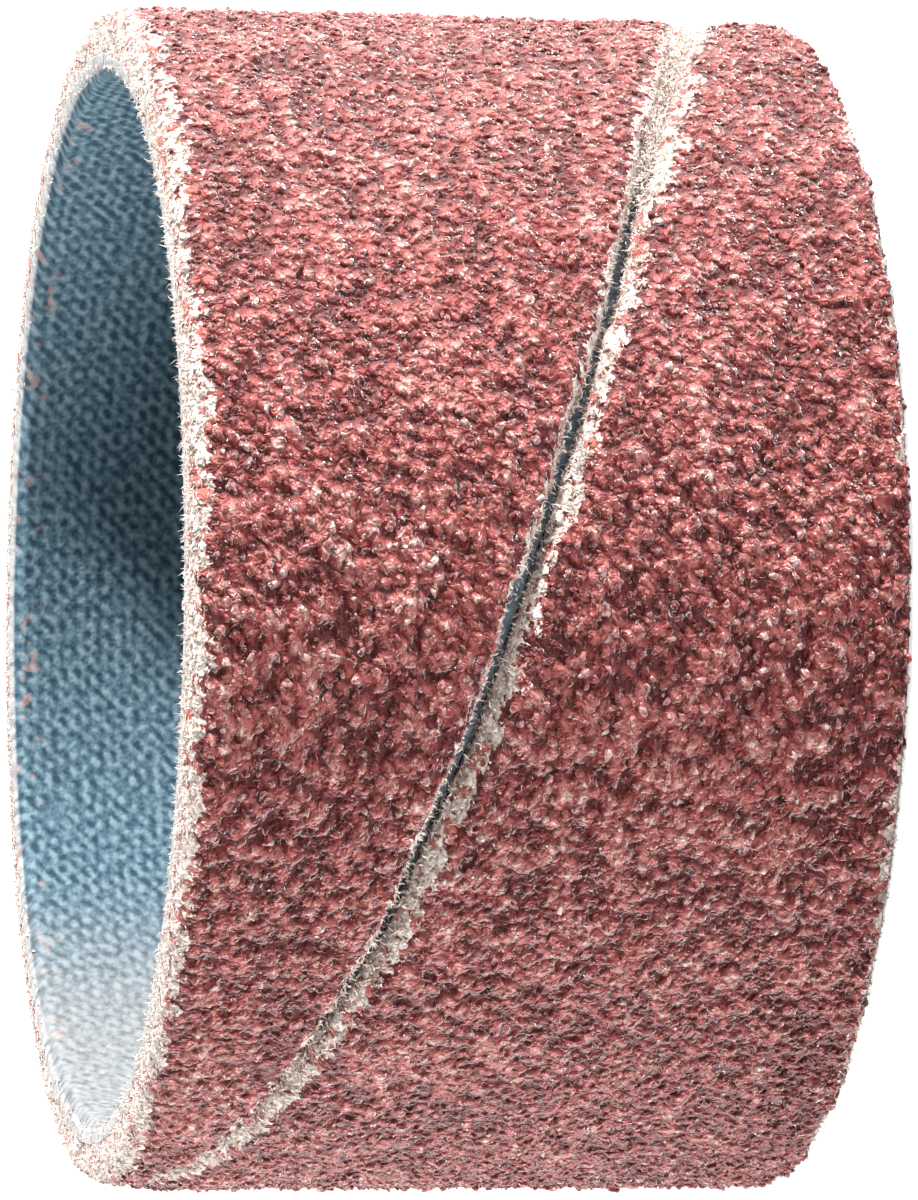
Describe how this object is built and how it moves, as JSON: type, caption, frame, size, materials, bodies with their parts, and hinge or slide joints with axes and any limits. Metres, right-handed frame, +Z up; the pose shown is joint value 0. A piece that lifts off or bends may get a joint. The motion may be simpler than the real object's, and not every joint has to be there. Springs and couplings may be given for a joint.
{
  "type": "sanding sleeve",
  "caption": "Short open tube of red abrasive cloth, wound as one helical strip with a butt seam over a blue cloth liner, that slips over a sanding drum.",
  "frame": {"origin": "centre of the lower rim, on the surface that the sleeve stands on", "axes": "+Z up along the sleeve's axis, towards the rim whose coat is rubbed back; -Y is the front, where the seam crosses at about half height; +X to the right"},
  "size_m": [0.0342, 0.0342, 0.02],
  "materials": {
    "red_grain": "coarse aluminium oxide grain in glossy red resin on cream cotton cloth",
    "blue_cloth": "matt blue-grey cotton twill"
  },
  "bodies": {
    "root": {"abrasive_strip": "red_grain", "liner": "blue_cloth"}
  },
  "joints": []
}
